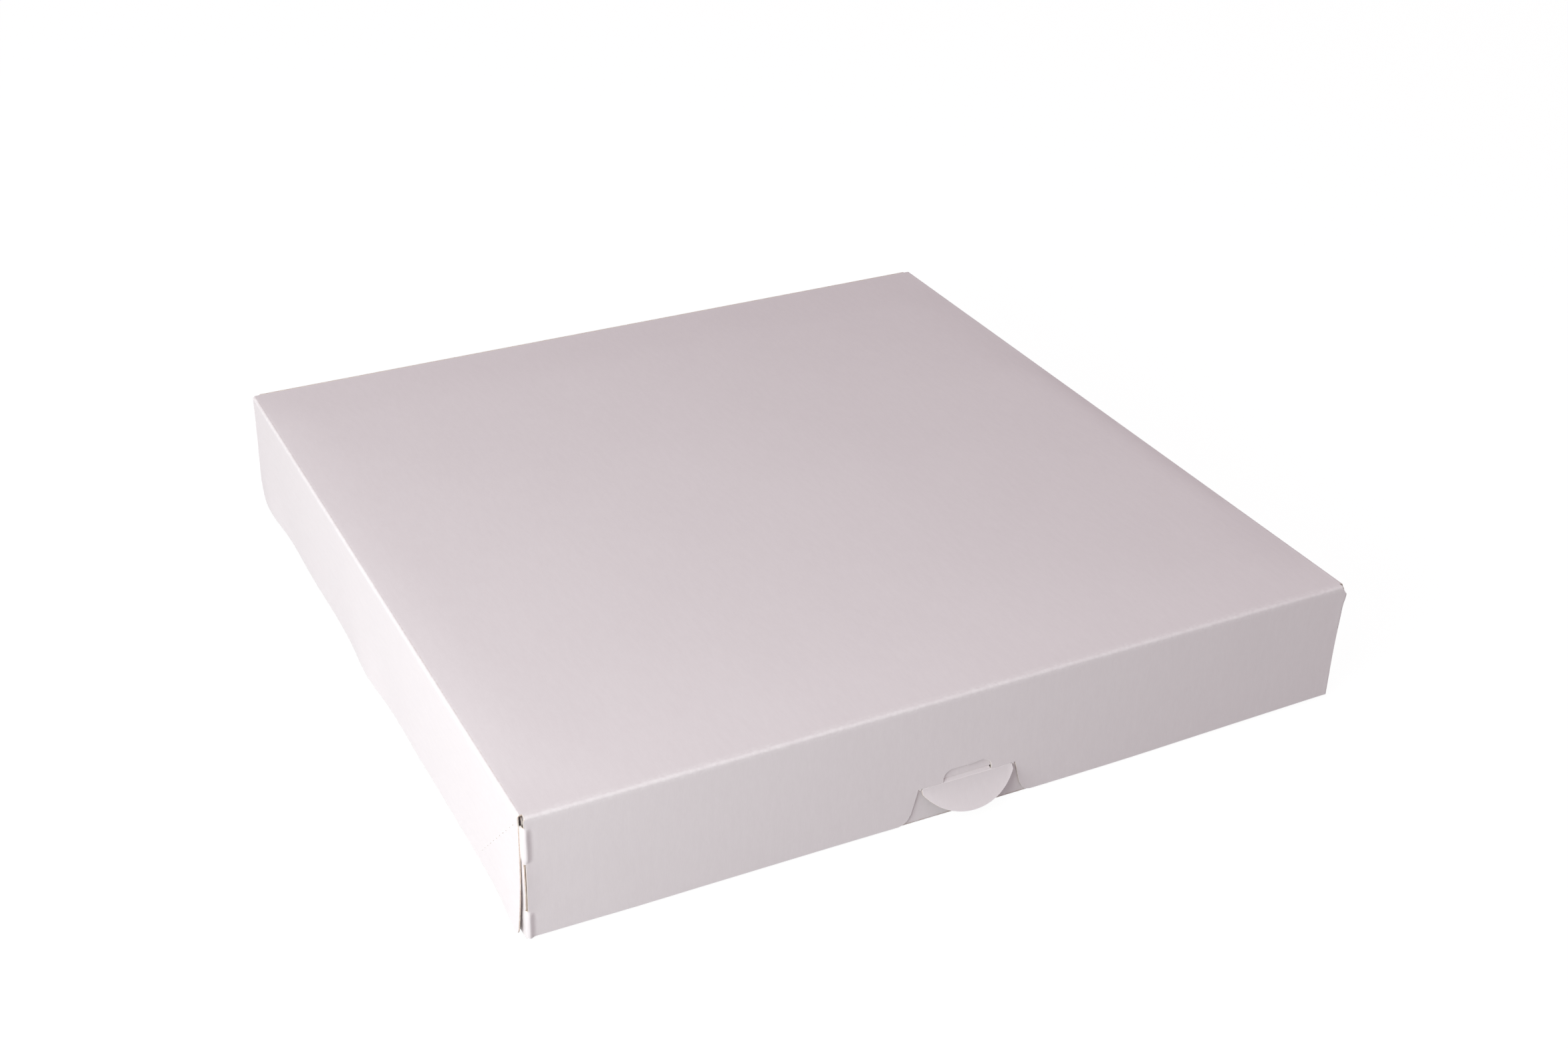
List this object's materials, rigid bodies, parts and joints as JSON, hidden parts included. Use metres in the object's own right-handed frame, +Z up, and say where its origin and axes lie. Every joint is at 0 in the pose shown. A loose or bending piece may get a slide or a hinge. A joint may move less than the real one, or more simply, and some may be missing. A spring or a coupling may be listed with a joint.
{
  "type": "cake box",
  "caption": "Flat white folding cake box in coated board, with a hinged lid, glued corners and a half-moon lock tab in the front.",
  "frame": {"origin": "middle of the closed box's footprint, on the table", "axes": "+X to the right and -Y towards the lid's front panel with the lock, +Z up"},
  "size_m": [0.32, 0.331, 0.0495],
  "materials": {
    "tray_board": "white coated board, satin, cream inside",
    "lid_board": "white coated board, satin, cream inside",
    "tab_board": "white coated board, satin, cream inside"
  },
  "bodies": {
    "tray": {"tray": "tray_board"},
    "lid": {"lid": "lid_board"},
    "lock_tab": {"lock_tab": "tab_board"}
  },
  "joints": [
    {"name": "lid_hinge", "type": "hinge", "parent": "tray", "child": "lid", "pos_m": [0, 0.16255, 0.04905], "axis": [-1, 0, 0], "range_deg": [0, 180]},
    {"name": "lock_tab_crease", "type": "hinge", "parent": "lid", "child": "lock_tab", "pos_m": [0.0013, -0.16278, 0.0142], "axis": [-1, 0, 0], "range_deg": [0, 40]}
  ]
}
